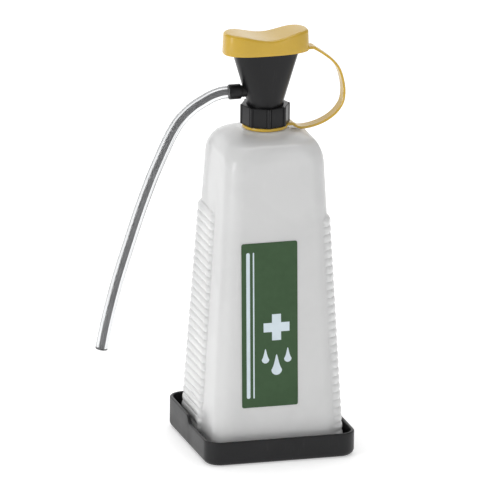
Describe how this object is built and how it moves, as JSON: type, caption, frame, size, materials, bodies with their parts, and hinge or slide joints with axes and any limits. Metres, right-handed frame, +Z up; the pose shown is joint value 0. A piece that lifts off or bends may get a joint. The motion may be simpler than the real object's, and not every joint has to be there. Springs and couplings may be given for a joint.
{
  "type": "eyewash bottle",
  "caption": "Tapered square squeeze bottle in a shallow tray, with a screw collar, an oval eyecup with spray nozzle, a side drain hose and a tethered dust cap.",
  "frame": {"origin": "centre of the tray's flat underside", "axes": "+Z up along the bottle's axis; the label faces -Y; the drain outlet points to -X"},
  "size_m": [0.1632, 0.1, 0.2738],
  "materials": {
    "tray_plastic": "satin moulded",
    "bottle_plastic": "translucent satin",
    "label_film": "satin printed film",
    "gasket_foam": "matte",
    "black_plastic": "satin moulded",
    "nozzle_plastic": "satin",
    "dip_tube_plastic": "translucent",
    "hose_pvc": "clear flexible",
    "yellow_plastic": "gloss moulded"
  },
  "bodies": {
    "tray": {"base_tray": "tray_plastic"},
    "bottle": {"bottle": "bottle_plastic", "label": "label_film"},
    "seal": {"neck_gasket": "gasket_foam"},
    "collar": {"screw_collar": "black_plastic"},
    "cup": {"eyecup": "black_plastic", "spray_nozzle": "nozzle_plastic", "dip_tube": "dip_tube_plastic", "hose_barb": "black_plastic", "hose_sleeve": "black_plastic", "drain_hose": "hose_pvc"},
    "tether": {"tether_ring": "yellow_plastic", "tether_strap": "yellow_plastic"},
    "cap": {"dust_cap": "yellow_plastic"}
  },
  "joints": [
    {"name": "bottle_lift", "type": "slide", "parent": "tray", "child": "bottle", "axis": [0, 0, 1], "range_m": [0, 0.04]},
    {"name": "head_lift", "type": "slide", "parent": "bottle", "child": "seal", "axis": [0, 0, 1], "range_m": [0, 0.008]},
    {"name": "collar_unscrew", "type": "hinge", "parent": "seal", "child": "collar", "pos_m": [0, 0, 0.2125], "axis": [0, 0, 1], "range_deg": [0, 720]},
    {"name": "cup_swivel", "type": "hinge", "parent": "seal", "child": "cup", "pos_m": [0, 0, 0.2255], "axis": [0, 0, 1], "continuous": true},
    {"name": "tether_turn", "type": "hinge", "parent": "seal", "child": "tether", "pos_m": [0, 0, 0.2113], "axis": [0, 0, 1], "continuous": true},
    {"name": "cap_lift", "type": "slide", "parent": "tether", "child": "cap", "axis": [0, 0, 1], "range_m": [0, 0.016], "deforming": ["tether_strap"]}
  ],
  "couplings": [
    {"joint": "collar_unscrew", "follows": "head_lift", "rad_per_m": 1570.8},
    {"joint": "tether_turn", "follows": "cup_swivel", "ratio": 1}
  ]
}
